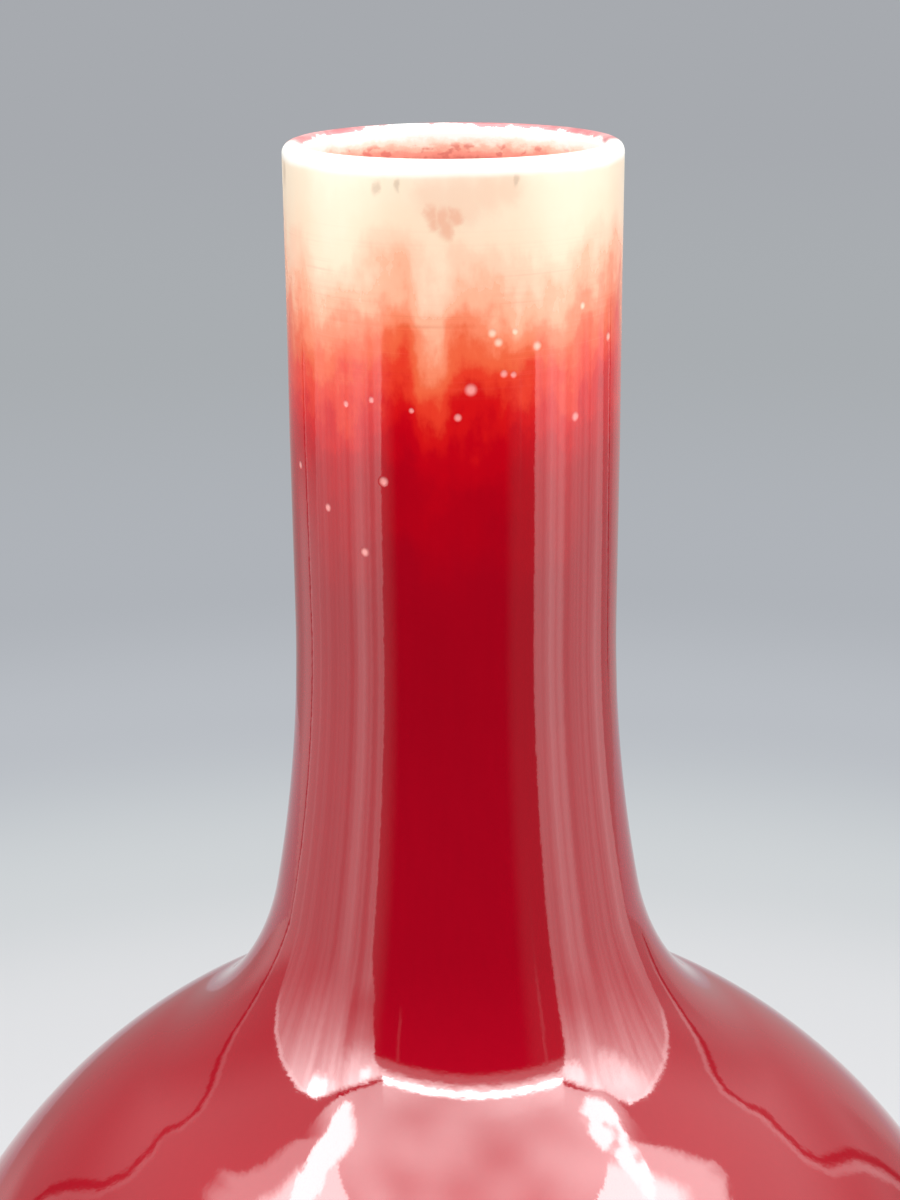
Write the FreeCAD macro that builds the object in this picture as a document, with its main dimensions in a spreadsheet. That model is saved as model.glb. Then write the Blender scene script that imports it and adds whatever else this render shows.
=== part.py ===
"""A straight-necked porcelain bottle vase with a copper-red glaze, in millimetres.

The vessel is thrown in sections that are luted together with slip: a neck, an upper and a
lower half of the globe, and a foot ring. Four coats of glaze lie on it: a pale one that wraps
the lip, a red one that runs from there down to a rolled edge just above the foot's bearing
edge, one that lines the neck, and one in the recess under the base.

+Z is up, and the origin is at the middle of the foot ring's bearing edge.
"""

import FreeCAD, Part
import math
import os

import Sketcher
from FreeCAD import Vector


# Driving dimensions: alias, value, what it measures.
SIZES = [
    # Outline of the bare porcelain
    ("globe_radius", 129.5, "outside of the globe"),
    ("foot_radius", 58.0, "outside of the foot ring, and of the flat seat cut for it"),
    ("foot_height", 12.0, "from the bearing edge to the underside of the base"),
    ("neck_radius", 31.4, "outside of the straight neck"),
    ("neck_length", 90.0, "straight part of the neck, below the lip's bevels"),
    ("sweep_radius", 318.7, "long gentle curve that starts to open the neck"),
    ("sweep_angle", 10.8, "degrees that the gentle curve turns"),
    ("bend_radius", 61.7, "tighter hollow curve that carries on to the globe"),
    # Walls
    ("neck_wall", 3.4, "wall of the neck"),
    ("lip_bevel_height", 1.4, "bevels that trim the lip, upwards"),
    ("lip_bevel_width", 1.0, "the same bevels, across the wall"),
    ("throat_radius", 75.0, "rounding between the neck's inside and the globe's inside"),
    ("globe_wall", 5.5, "wall of the globe"),
    ("floor_thickness", 9.0, "base, from its underside to the floor inside"),
    ("floor_corner", 30.0, "rounding between the floor and the globe's inside"),
    # Joints
    ("slip_thickness", 0.8, "slip between two luted sections"),
    # Foot ring
    ("foot_wall", 8.0, "wall of the foot ring"),
    ("foot_edge_height", 1.6, "turned bevel outside the foot ring, upwards"),
    ("foot_edge_width", 1.2, "the same bevel, across the wall"),
    ("foot_bevel_height", 3.0, "turned bevel inside the foot ring, upwards"),
    ("foot_bevel_width", 2.2, "the same bevel, across the wall"),
    # Glaze
    ("red_thickness", 0.6, "red coat on the neck and globe"),
    ("red_thickening", 30.0, "length over which it thickens from the pale coat's thickness"),
    ("red_pool_radius", 4.0, "hollow rounding where it pools above the foot"),
    ("red_roll_radius", 1.3, "thick rolled edge that it ends in"),
    ("bare_foot", 3.0, "unglazed foot below the rolled edge"),
    ("lip_coat_thickness", 0.4, "pale coat over the lip, where the glaze ran thin"),
    ("lip_coat_outside", 24.0, "how far that coat comes down outside"),
    ("lip_coat_inside", 8.0, "how far that coat comes down inside"),
    ("lining_thickness", 0.4, "coat that lines the neck"),
    ("base_coat_thickness", 0.5, "coat in the recess under the base"),
    ("base_coat_skirt", 4.5, "how far that coat comes down inside the foot ring"),
    ("base_coat_corner", 2.0, "slope of the glaze that pools where it turns down"),
]

FULL_TURN = 360

# How a sketch numbers the points of a stretch, its two axes and its origin.
START, END, CENTRE = range(1, 4)
HORIZONTAL_AXIS, VERTICAL_AXIS = range(-1, -3, -1)
ORIGIN_POINT = (HORIZONTAL_AXIS, START)

doc = FreeCAD.newDocument("bottle_vase")
sheet = doc.addObject("Spreadsheet::Sheet", "sizes")
for row, (alias, value, meaning) in enumerate(SIZES, start=1):
    sheet.set(f"A{row}", meaning)
    sheet.set(f"B{row}", str(value))
    sheet.setAlias(f"B{row}", alias)
doc.recompute()


def size(alias):
    """A driving dimension, read from the sheet."""
    return float(sheet.get(alias))


def mm(alias):
    """The same dimension, as a length in an expression."""
    return f"sizes.{alias} * 1 mm"


class Profile:
    """A closed outline on a body's upright plane, held by constraints to the sheet.

    Each stretch follows on from the one before it, smoothly where smooth is true, until
    lift() ends the run. The points given for a stretch only start it in the right place.
    """

    def __init__(self, name):
        self.body = doc.addObject("PartDesign::Body", name)
        self.body.Label = name
        self.sketch = self.body.newObject("Sketcher::SketchObject", name + "_outline")
        plane = next(o for o in self.body.Origin.OriginFeatures if o.Role == "XZ_Plane")
        self.sketch.AttachmentSupport = [(plane, "")]
        self.sketch.MapMode = "FlatFace"
        self.ends = {}
        self.latest = None

    def add(self, shape, first, last, smooth):
        index = self.sketch.addGeometry(shape, False)
        self.ends[index] = (first, last)
        if self.latest is not None:
            self.join(self.end(self.latest), (index, first), smooth)
        self.latest = index
        return index

    def line(self, start, end, smooth=False):
        shape = Part.LineSegment(Vector(*start, 0), Vector(*end, 0))
        return self.add(shape, START, END, smooth)

    def arc(self, centre, radius, start_angle, end_angle, smooth=False):
        """An arc from one angle to the other, either way round."""
        circle = Part.Circle(Vector(*centre, 0), Vector(0, 0, 1), radius)
        if end_angle > start_angle:
            return self.add(Part.ArcOfCircle(circle, start_angle, end_angle), START, END, smooth)
        return self.add(Part.ArcOfCircle(circle, end_angle, start_angle), END, START, smooth)

    def lift(self):
        self.latest = None

    def start(self, index):
        return index, self.ends[index][0]

    def end(self, index):
        return index, self.ends[index][1]

    def point(self, spot):
        return self.sketch.getPoint(*spot)

    def tie(self, *terms):
        """A constraint with no size of its own."""
        self.sketch.addConstraint(Sketcher.Constraint(*terms))

    def join(self, one, other, smooth=False):
        self.tie("Tangent" if smooth else "Coincident", *one, *other)

    def upright(self, index):
        self.tie("Vertical", index)

    def level(self, index):
        self.tie("Horizontal", index)

    def on_axis(self, spot):
        self.tie("PointOnObject", *spot, VERTICAL_AXIS)

    def hold(self, name, expression, *terms):
        """A constraint with a size, bound to the sheet."""
        number = self.sketch.addConstraint(Sketcher.Constraint(*terms))
        self.sketch.renameConstraint(number, name)
        self.sketch.setExpression(f"Constraints.{name}", expression)

    def radius(self, index, name, expression):
        self.hold(name, expression, "Radius", index, self.sketch.Geometry[index].Radius)

    def turning(self, index, name, expression):
        """How far an arc turns."""
        arc = self.sketch.Geometry[index]
        self.hold(name, expression, "Angle", index, arc.LastParameter - arc.FirstParameter)

    def across(self, spot, name, expression):
        """Distance of a point from the axis."""
        self.hold(name, expression, "DistanceX", *ORIGIN_POINT, *spot, self.point(spot).x)

    def height(self, spot, name, expression):
        """Height of a point above the origin."""
        self.hold(name, expression, "DistanceY", *ORIGIN_POINT, *spot, self.point(spot).y)

    def rise(self, lower, upper, name, expression):
        """Height of one point above another."""
        value = self.point(upper).y - self.point(lower).y
        self.hold(name, expression, "DistanceY", *lower, *upper, value)

    def reach(self, inner, outer, name, expression):
        """How much farther from the axis one point is than another."""
        value = self.point(outer).x - self.point(inner).x
        self.hold(name, expression, "DistanceX", *inner, *outer, value)

    def note_height(self, spot, name):
        """Measures a height that other pieces are placed by."""
        terms = ("DistanceY", *ORIGIN_POINT, *spot, self.point(spot).y)
        number = self.sketch.addConstraint(Sketcher.Constraint(*terms))
        self.sketch.renameConstraint(number, name)
        self.sketch.setDriving(number, False)

    def turn(self):
        """Turns the outline round the axis into the body's solid."""
        self.sketch.solve()
        doc.recompute()
        if not self.sketch.FullyConstrained:
            raise RuntimeError(f"{self.sketch.Name} is not fully constrained")
        solid = self.body.newObject("PartDesign::Revolution", self.body.Name + "_turned")
        solid.Profile = self.sketch
        solid.ReferenceAxis = (self.sketch, ["V_Axis"])
        solid.Angle = FULL_TURN
        self.sketch.Visibility = False
        doc.recompute()
        return self.body


class Wall:
    """Where the curves of the bare porcelain meet, worked out from the sheet."""

    turn = math.radians(size("sweep_angle"))
    foot_angle = -math.acos(size("foot_radius") / size("globe_radius"))
    globe_z = size("foot_height") - size("globe_radius") * math.sin(foot_angle)
    bend_x = (size("neck_radius") + size("sweep_radius") * (1 - math.cos(turn))
              + size("bend_radius") * math.cos(turn))
    bend_z = globe_z + math.sqrt((size("globe_radius") + size("bend_radius")) ** 2 - bend_x ** 2)
    shoulder_angle = math.atan2(bend_z - globe_z, bend_x)
    sweep_x = size("neck_radius") + size("sweep_radius")
    sweep_z = bend_z + (size("sweep_radius") - size("bend_radius")) * math.sin(turn)
    lip_z = sweep_z + size("neck_length")

    bore_radius = size("neck_radius") - size("neck_wall")
    inner_radius = size("globe_radius") - size("globe_wall")
    throat_x = bore_radius + size("throat_radius")
    throat_z = globe_z + math.sqrt((inner_radius + size("throat_radius")) ** 2 - throat_x ** 2)
    throat_angle = math.atan2(throat_z - globe_z, throat_x)
    floor_z = size("foot_height") + size("floor_thickness")
    corner_z = floor_z + size("floor_corner")
    corner_x = math.sqrt((inner_radius - size("floor_corner")) ** 2 - (globe_z - corner_z) ** 2)
    corner_angle = math.atan2(corner_z - globe_z, corner_x)


def outer_curves(p, name, top_z, coat=0.0, coat_text="0 mm"):
    """Neck, sweep, bend and globe, going down, with a coat's thickness outside the porcelain."""
    neck_x = size("neck_radius") + coat
    neck = p.line((neck_x, top_z), (neck_x, Wall.sweep_z))
    sweep = p.arc((Wall.sweep_x, Wall.sweep_z), size("sweep_radius") - coat,
                  math.pi, math.pi + Wall.turn, smooth=True)
    bend = p.arc((Wall.bend_x, Wall.bend_z), size("bend_radius") - coat,
                 math.pi + Wall.turn, math.pi + Wall.shoulder_angle, smooth=True)
    globe = p.arc((0, Wall.globe_z), size("globe_radius") + coat,
                  Wall.shoulder_angle, Wall.foot_angle, smooth=True)
    p.upright(neck)
    p.across(p.start(neck), f"{name}_neck", f"{mm('neck_radius')} + {coat_text}")
    p.radius(sweep, f"{name}_sweep", f"{mm('sweep_radius')} - {coat_text}")
    p.turning(sweep, f"{name}_sweep_turn", "sizes.sweep_angle * 1 deg")
    p.radius(bend, f"{name}_bend", f"{mm('bend_radius')} - {coat_text}")
    p.radius(globe, f"{name}_globe", f"{mm('globe_radius')} + {coat_text}")
    return neck, sweep, bend, globe


def inner_curves(p):
    """Bore, throat, globe, corner and floor, going down from the lip to the axis."""
    bore = p.line((Wall.bore_radius, Wall.lip_z), (Wall.bore_radius, Wall.throat_z))
    throat = p.arc((Wall.throat_x, Wall.throat_z), size("throat_radius"),
                   math.pi, math.pi + Wall.throat_angle, smooth=True)
    globe = p.arc((0, Wall.globe_z), Wall.inner_radius,
                  Wall.throat_angle, Wall.corner_angle, smooth=True)
    corner = p.arc((Wall.corner_x, Wall.corner_z), size("floor_corner"),
                   Wall.corner_angle, -math.pi / 2, smooth=True)
    floor = p.line((Wall.corner_x, Wall.floor_z), (0, Wall.floor_z), smooth=True)
    p.upright(bore)
    p.level(floor)
    p.across(p.start(bore), "bore", f"{mm('neck_radius')} - {mm('neck_wall')}")
    p.radius(throat, "throat", mm("throat_radius"))
    p.radius(globe, "inner_globe", f"{mm('globe_radius')} - {mm('globe_wall')}")
    p.radius(corner, "floor_corner", mm("floor_corner"))
    p.height(p.start(floor), "floor_height", f"{mm('foot_height')} + {mm('floor_thickness')}")
    return bore, globe, floor


def trimmed_lip(p):
    """The lip's two bevels and the flat between them, going inwards. The caller places its ends."""
    outer, inner, low = size("neck_radius"), Wall.bore_radius, Wall.lip_z
    width, high = size("lip_bevel_width"), Wall.lip_z + size("lip_bevel_height")
    outer_bevel = p.line((outer, low), (outer - width, high))
    crown = p.line((outer - width, high), (inner + width, high))
    inner_bevel = p.line((inner + width, high), (inner, low))
    p.level(crown)
    p.rise(p.start(outer_bevel), p.end(outer_bevel), "outer_bevel_height", mm("lip_bevel_height"))
    p.rise(p.end(inner_bevel), p.start(inner_bevel), "inner_bevel_height", mm("lip_bevel_height"))
    p.reach(p.end(outer_bevel), p.start(outer_bevel), "outer_bevel_width", mm("lip_bevel_width"))
    p.reach(p.end(inner_bevel), p.start(inner_bevel), "inner_bevel_width", mm("lip_bevel_width"))
    return outer_bevel, crown, inner_bevel


def porcelain_wall():
    """The whole turned wall above the foot ring, which the joints then part into sections."""
    p = Profile("wall")
    neck, sweep, bend, globe = outer_curves(p, "outer", Wall.lip_z)
    seat = p.line((size("foot_radius"), size("foot_height")), (0, size("foot_height")))
    middle = p.line((0, size("foot_height")), (0, Wall.floor_z))
    p.on_axis((globe, CENTRE))
    p.level(seat)
    p.upright(middle)
    p.on_axis(p.start(middle))
    p.across(p.start(seat), "seat_radius", mm("foot_radius"))
    p.height(p.start(seat), "seat_height", mm("foot_height"))
    p.rise(p.end(neck), p.start(neck), "neck_length", mm("neck_length"))

    p.lift()
    bore, inner_globe, floor = inner_curves(p)
    p.join(p.end(middle), p.end(floor))
    p.join((globe, CENTRE), (inner_globe, CENTRE))

    p.lift()
    outer_lip, _, inner_lip = trimmed_lip(p)
    p.join(p.start(outer_lip), p.start(neck))
    p.join(p.end(inner_lip), p.start(bore))

    p.note_height((globe, CENTRE), "belly")
    p.note_height(p.end(neck), "neck_root")
    p.note_height(p.end(bore), "throat_top")
    p.note_height(p.start(neck), "lip")
    return p.turn()


BELLY = "wall_outline.Constraints.belly"
NECK_ROOT = "wall_outline.Constraints.neck_root"
THROAT_TOP = "wall_outline.Constraints.throat_top"
LIP = "wall_outline.Constraints.lip"
SLIP = mm("slip_thickness")


def slice_of_wall(wall, name, base, height):
    """The part of the wall from one level, over a height. The slab is wider than the globe."""
    slab = doc.addObject("Part::Cylinder", name + "_slab")
    slab.setExpression("Radius", f"2 * {mm('globe_radius')}")
    slab.setExpression("Height", height)
    slab.setExpression("Placement.Base.z", base)
    piece = doc.addObject("Part::Common", name)
    piece.Label = name
    piece.Base = wall
    piece.Tool = slab
    return piece


def thrown_sections(wall):
    """The three sections, and the slip that lutes them."""
    belly_bottom, belly_top = f"{BELLY} - {SLIP} / 2", f"{BELLY} + {SLIP} / 2"
    return [
        slice_of_wall(wall, "lower_body_section", "0 mm", belly_bottom),
        slice_of_wall(wall, "belly_slip_joint", belly_bottom, SLIP),
        slice_of_wall(wall, "upper_body_section", belly_top, f"{NECK_ROOT} - ({belly_top})"),
        slice_of_wall(wall, "neck_slip_joint", NECK_ROOT, SLIP),
        slice_of_wall(wall, "neck_section", f"{NECK_ROOT} + {SLIP}", LIP),
    ]


def foot_ring():
    """The turned foot: upright walls, and a flat landing with a bevel on each side."""
    outer, inner = size("foot_radius"), size("foot_radius") - size("foot_wall")
    top = size("foot_height") - size("slip_thickness")
    edge_x, edge_z = size("foot_edge_width"), size("foot_edge_height")
    bevel_x, bevel_z = size("foot_bevel_width"), size("foot_bevel_height")
    p = Profile("foot_ring")
    side = p.line((outer, top), (outer, edge_z))
    edge = p.line((outer, edge_z), (outer - edge_x, 0))
    landing = p.line((outer - edge_x, 0), (inner + bevel_x, 0))
    bevel = p.line((inner + bevel_x, 0), (inner, bevel_z))
    inside = p.line((inner, bevel_z), (inner, top))
    crown = p.line((inner, top), (outer, top))
    p.join(p.end(crown), p.start(side))
    for line in (side, inside):
        p.upright(line)
    for line in (landing, crown):
        p.level(line)
    p.across(p.start(side), "outer_radius", mm("foot_radius"))
    p.reach(p.start(crown), p.end(crown), "wall", mm("foot_wall"))
    p.height(p.start(side), "top", f"{mm('foot_height')} - {SLIP}")
    p.tie("PointOnObject", *p.start(landing), HORIZONTAL_AXIS)
    p.rise(p.end(edge), p.start(edge), "edge_height", mm("foot_edge_height"))
    p.reach(p.end(edge), p.start(edge), "edge_width", mm("foot_edge_width"))
    p.rise(p.start(bevel), p.end(bevel), "bevel_height", mm("foot_bevel_height"))
    p.reach(p.end(bevel), p.start(bevel), "bevel_width", mm("foot_bevel_width"))
    return p.turn()


def band(name, inner, outer, bottom, top):
    """A closed outline with four straight sides, and the points that place it."""
    p = Profile(name)
    outside = p.line((outer, bottom), (outer, top))
    upper = p.line((outer, top), (inner, top))
    inside = p.line((inner, top), (inner, bottom))
    lower = p.line((inner, bottom), (outer, bottom))
    p.join(p.end(lower), p.start(outside))
    for line in (outside, inside):
        p.upright(line)
    for line in (upper, lower):
        p.level(line)
    return p, p.start(inside), p.start(upper), p.start(lower)


def foot_slip_joint():
    """The slip between the foot ring and the seat under the base."""
    outer, top = size("foot_radius"), size("foot_height")
    p, inner_top, outer_top, inner_bottom = band(
        "foot_slip_joint", outer - size("foot_wall"), outer, top - size("slip_thickness"), top)
    p.across(outer_top, "outer_radius", mm("foot_radius"))
    p.reach(inner_top, outer_top, "width", mm("foot_wall"))
    p.height(outer_top, "top", mm("foot_height"))
    p.rise(inner_bottom, inner_top, "thickness", SLIP)
    return p.turn()


def neck_lining_glaze():
    """The coat that lines the neck's bore, from the lip's coat down to the throat."""
    p, inner_top, outer_top, inner_bottom = band(
        "neck_lining_glaze", Wall.bore_radius - size("lining_thickness"), Wall.bore_radius,
        Wall.throat_z, Wall.lip_z - size("lip_coat_inside"))
    p.across(outer_top, "bore", f"{mm('neck_radius')} - {mm('neck_wall')}")
    p.reach(inner_top, outer_top, "thickness", mm("lining_thickness"))
    p.height(outer_top, "top", f"{LIP} - {mm('lip_coat_inside')}")
    p.height(inner_bottom, "bottom", THROAT_TOP)
    return p.turn()


def lip_glaze():
    """The pale coat that wraps the trimmed lip and rounds it off."""
    coat, crest_radius = size("lip_coat_thickness"), size("neck_wall") / 2 + size("lip_coat_thickness")
    neck_x, bore_x = size("neck_radius"), Wall.bore_radius
    outer_z, inner_z = Wall.lip_z - size("lip_coat_outside"), Wall.lip_z - size("lip_coat_inside")
    p = Profile("lip_glaze")
    outside = p.line((neck_x + coat, outer_z), (neck_x + coat, Wall.lip_z))
    crest = p.arc(((neck_x + bore_x) / 2, Wall.lip_z), crest_radius, 0, math.pi, smooth=True)
    inside = p.line((bore_x - coat, Wall.lip_z), (bore_x - coat, inner_z), smooth=True)
    inner_edge = p.line((bore_x - coat, inner_z), (bore_x, inner_z))
    bore = p.line((bore_x, inner_z), (bore_x, Wall.lip_z))
    p.lift()
    neck = p.line((neck_x, Wall.lip_z), (neck_x, outer_z))
    outer_edge = p.line((neck_x, outer_z), (neck_x + coat, outer_z))
    p.join(p.end(outer_edge), p.start(outside))
    p.lift()
    outer_lip, _, inner_lip = trimmed_lip(p)
    p.join(p.start(outer_lip), p.start(neck))
    p.join(p.end(inner_lip), p.end(bore))
    for line in (outside, inside, bore, neck):
        p.upright(line)
    for line in (inner_edge, outer_edge):
        p.level(line)
    p.across(p.start(neck), "neck", mm("neck_radius"))
    p.across(p.start(bore), "bore", f"{mm('neck_radius')} - {mm('neck_wall')}")
    p.reach(p.start(outer_edge), p.end(outer_edge), "coat", mm("lip_coat_thickness"))
    p.radius(crest, "crest", f"{mm('neck_wall')} / 2 + {mm('lip_coat_thickness')}")
    p.height((crest, CENTRE), "crest_height", LIP)
    p.height(p.start(neck), "lip_height", LIP)
    p.height(p.end(neck), "outer_edge", f"{LIP} - {mm('lip_coat_outside')}")
    p.height(p.start(bore), "inner_edge", f"{LIP} - {mm('lip_coat_inside')}")
    return p.turn()


def red_glaze():
    """The red coat: it thickens down the neck, covers the globe and ends in a roll on the foot."""
    coat, pool, roll = size("red_thickness"), size("red_pool_radius"), size("red_roll_radius")
    neck_x, foot_x = size("neck_radius"), size("foot_radius")
    top_z = Wall.lip_z - size("lip_coat_outside")
    full_z = top_z - size("red_thickening")
    p = Profile("red_glaze")
    top_edge = p.line((neck_x, top_z), (neck_x + size("lip_coat_thickness"), top_z))
    thickening = p.line((neck_x + size("lip_coat_thickness"), top_z), (neck_x + coat, full_z))
    neck, _, _, globe = outer_curves(p, "glazed", full_z, coat, mm("red_thickness"))
    pool_x = foot_x + coat + pool
    pool_z = Wall.globe_z - math.sqrt((size("globe_radius") + coat + pool) ** 2 - pool_x ** 2)
    pool_angle = math.atan2(Wall.globe_z - pool_z, -pool_x)
    pooling = p.arc((pool_x, pool_z), pool, pool_angle, math.pi, smooth=True)
    roll_z = size("bare_foot") + roll
    fall = p.line((foot_x + coat, pool_z), (foot_x + roll, roll_z), smooth=True)
    rolled = p.arc((foot_x, roll_z), roll, 0, -math.pi / 2, smooth=True)
    p.on_axis((globe, CENTRE))
    p.height((globe, CENTRE), "belly", BELLY)
    p.radius(pooling, "pool", mm("red_pool_radius"))
    p.across(p.start(fall), "pool_end", f"{mm('foot_radius')} + {mm('red_thickness')}")
    p.radius(rolled, "roll", mm("red_roll_radius"))
    p.across((rolled, CENTRE), "roll_middle", mm("foot_radius"))
    p.height((rolled, CENTRE), "roll_height", f"{mm('bare_foot')} + {mm('red_roll_radius')}")
    p.level(top_edge)
    p.height(p.start(top_edge), "top_edge", f"{LIP} - {mm('lip_coat_outside')}")
    p.rise(p.start(neck), p.start(thickening), "thickening", mm("red_thickening"))
    p.reach(p.start(top_edge), p.end(top_edge), "top_width", mm("lip_coat_thickness"))

    p.lift()
    bare_neck, _, _, bare_globe = outer_curves(p, "bare", top_z)
    foot_wall = p.line((foot_x, size("foot_height")), (foot_x, size("bare_foot")))
    p.join(p.start(bare_neck), p.start(top_edge))
    p.join(p.end(foot_wall), p.end(rolled))
    p.join((bare_globe, CENTRE), (globe, CENTRE))
    p.upright(foot_wall)
    p.across(p.end(foot_wall), "foot_wall", mm("foot_radius"))
    return p.turn()


def base_glaze():
    """The coat under the base, with a skirt down the inside of the foot ring."""
    coat, corner = size("base_coat_thickness"), size("base_coat_corner")
    outer = size("foot_radius") - size("foot_wall")
    inner = outer - coat
    top = size("foot_height")
    skirt_z = top - size("base_coat_skirt")
    p = Profile("base_glaze")
    seat = p.line((0, top), (outer, top))
    outside = p.line((outer, top), (outer, skirt_z))
    hem = p.line((outer, skirt_z), (inner, skirt_z))
    inside = p.line((inner, skirt_z), (inner, top - coat - corner))
    slope = p.line((inner, top - coat - corner), (inner - corner, top - coat))
    under = p.line((inner - corner, top - coat), (0, top - coat))
    middle = p.line((0, top - coat), (0, top))
    p.join(p.end(middle), p.start(seat))
    for line in (outside, inside, middle):
        p.upright(line)
    for line in (seat, hem, under):
        p.level(line)
    p.on_axis(p.start(middle))
    p.across(p.start(outside), "recess_radius", f"{mm('foot_radius')} - {mm('foot_wall')}")
    p.height(p.start(seat), "seat_height", mm("foot_height"))
    p.rise(p.end(outside), p.start(outside), "skirt", mm("base_coat_skirt"))
    p.rise(p.start(middle), p.end(middle), "thickness", mm("base_coat_thickness"))
    p.reach(p.end(hem), p.start(hem), "skirt_thickness", mm("base_coat_thickness"))
    p.rise(p.start(slope), p.end(slope), "corner_height", mm("base_coat_corner"))
    p.reach(p.end(slope), p.start(slope), "corner_width", mm("base_coat_corner"))
    return p.turn()


def check_all():
    """Stops if any object failed, or any solid is missing or broken."""
    for item in doc.Objects:
        if "Invalid" in item.State or "Error" in item.State:
            raise RuntimeError(f"{item.Name} failed")
        if item.TypeId.startswith("Part") and (item.Shape.isNull() or not item.Shape.isValid()):
            raise RuntimeError(f"{item.Name} has no valid shape")


def export(pieces):
    """Writes one file for each sub-part, named by its label."""
    os.makedirs("parts", exist_ok=True)
    for piece in pieces:
        if len(piece.Shape.Solids) != 1:
            raise RuntimeError(f"{piece.Label} is not one solid")
        piece.Shape.exportStep(f"parts/{piece.Label}.step")


pieces = thrown_sections(porcelain_wall())
pieces += [foot_ring(), foot_slip_joint()]
pieces += [lip_glaze(), red_glaze(), neck_lining_glaze(), base_glaze()]
doc.recompute()
check_all()
export(pieces)
for piece in pieces:
    box = piece.Shape.BoundBox
    print(f"{piece.Label}: {piece.Shape.Volume:.0f} mm3, from {box.ZMin:.2f} to {box.ZMax:.2f} up, "
          f"{box.XLength:.2f} wide")
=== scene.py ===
import math

import bpy
from mathutils import Matrix, Vector, noise


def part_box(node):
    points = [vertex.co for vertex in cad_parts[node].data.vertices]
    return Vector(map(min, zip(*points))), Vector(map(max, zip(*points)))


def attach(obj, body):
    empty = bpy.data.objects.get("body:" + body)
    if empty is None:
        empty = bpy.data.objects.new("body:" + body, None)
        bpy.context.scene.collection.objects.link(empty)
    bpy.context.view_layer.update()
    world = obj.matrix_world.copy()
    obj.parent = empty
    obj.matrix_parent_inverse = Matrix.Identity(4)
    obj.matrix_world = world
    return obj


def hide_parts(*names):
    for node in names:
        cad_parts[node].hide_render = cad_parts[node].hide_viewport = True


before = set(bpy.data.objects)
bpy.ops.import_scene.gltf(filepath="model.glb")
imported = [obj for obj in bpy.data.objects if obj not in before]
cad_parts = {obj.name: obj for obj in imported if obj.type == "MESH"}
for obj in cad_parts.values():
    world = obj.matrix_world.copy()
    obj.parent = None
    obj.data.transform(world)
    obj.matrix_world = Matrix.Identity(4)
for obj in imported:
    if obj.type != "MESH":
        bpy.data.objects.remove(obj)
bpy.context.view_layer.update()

MM = 0.001


# Camera, at the photograph's viewing angle

CAMERA_DISTANCE = 393.8 * MM       # from the vase's axis, level
CAMERA_HEIGHT = 476.0 * MM         # above the floor
CAMERA_PITCH = math.radians(18.75)
CAMERA_YAW = math.radians(0.17)
CAMERA_ROLL = math.radians(0.41)
SENSOR = 36.0                      # long side, in mm
LENS = 62.70                       # in mm


def make_camera():
    """Looks along +Y and down at the neck."""
    data = bpy.data.cameras.new("camera")
    data.sensor_width = SENSOR
    data.lens = LENS
    camera = bpy.data.objects.new("camera", data)
    bpy.context.scene.collection.objects.link(camera)
    level = Matrix.Rotation(math.radians(90), 4, "X")
    pitch = Matrix.Rotation(-CAMERA_PITCH, 4, "X")
    yaw = Matrix.Rotation(CAMERA_YAW, 4, "Z")
    roll = Matrix.Rotation(-CAMERA_ROLL, 4, "Z")
    place = Matrix.Translation((0, -CAMERA_DISTANCE, CAMERA_HEIGHT))
    camera.matrix_world = place @ yaw @ pitch @ level @ roll
    bpy.context.scene.camera = camera


# Sizes of the glaze's curves. Heights and most radii come from the frame.

SWEEP_RADIUS = 318.1 * MM          # the long curve below the straight neck
SWEEP_ANGLE = math.radians(10.8)
BEND_RADIUS = 61.1 * MM            # the hollow curve between the sweep and the globe
THICKENING = 30 * MM               # how far below the lip's coat the red is at its full thickness
POOL_RADIUS = 4 * MM               # the hollow where the glaze pools above the foot
ROLL_RADIUS = 1.3 * MM             # the rolled lower edge
LINING_COAT = 0.4 * MM             # the coat inside the neck
NECK_SLIP = 0.8 * MM               # the slip under the neck section
END_BEVEL = 1.0 * MM               # on the trimmed end of the neck, under the lip's coat

RED_LOW, RED_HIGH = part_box("red_glaze")
LIP_LOW, LIP_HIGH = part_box("lip_glaze")
LINING_LOW, LINING_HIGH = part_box("neck_lining_glaze")
_, FOOT_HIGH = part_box("foot_ring")
NECK_LOW, NECK_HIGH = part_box("neck_section")
BELLY_LOW, BELLY_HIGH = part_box("belly_slip_joint")

GLOBE_Z = (BELLY_LOW.z + BELLY_HIGH.z) / 2
GLOBE_RADIUS = RED_HIGH.x
BARE_GLOBE_RADIUS = BELLY_HIGH.x
NECK_RADIUS = NECK_HIGH.x + GLOBE_RADIUS - BARE_GLOBE_RADIUS
LIP_RADIUS = LIP_HIGH.x
BORE_RADIUS = LINING_HIGH.x - LINING_COAT
CREST_RADIUS = (LIP_RADIUS - BORE_RADIUS) / 2
CREST_MIDDLE = (LIP_RADIUS + BORE_RADIUS) / 2
CREST_Z = LIP_HIGH.z - CREST_RADIUS
SWEEP_X = NECK_RADIUS + SWEEP_RADIUS
SWEEP_Z = NECK_LOW.z - NECK_SLIP
BEND_X = SWEEP_X - (SWEEP_RADIUS - BEND_RADIUS) * math.cos(SWEEP_ANGLE)
BEND_Z = SWEEP_Z - (SWEEP_RADIUS - BEND_RADIUS) * math.sin(SWEEP_ANGLE)
SHOULDER_ANGLE = math.atan2(BEND_Z - GLOBE_Z, BEND_X)
FOOT_RADIUS = FOOT_HIGH.x
POOL_X = FOOT_RADIUS + GLOBE_RADIUS - BARE_GLOBE_RADIUS + POOL_RADIUS
POOL_Z = GLOBE_Z - math.sqrt((GLOBE_RADIUS + POOL_RADIUS) ** 2 - POOL_X ** 2)
POOL_ANGLE = math.atan2(GLOBE_Z - POOL_Z, -POOL_X)
ROLL_Z = RED_LOW.z + ROLL_RADIUS

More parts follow.
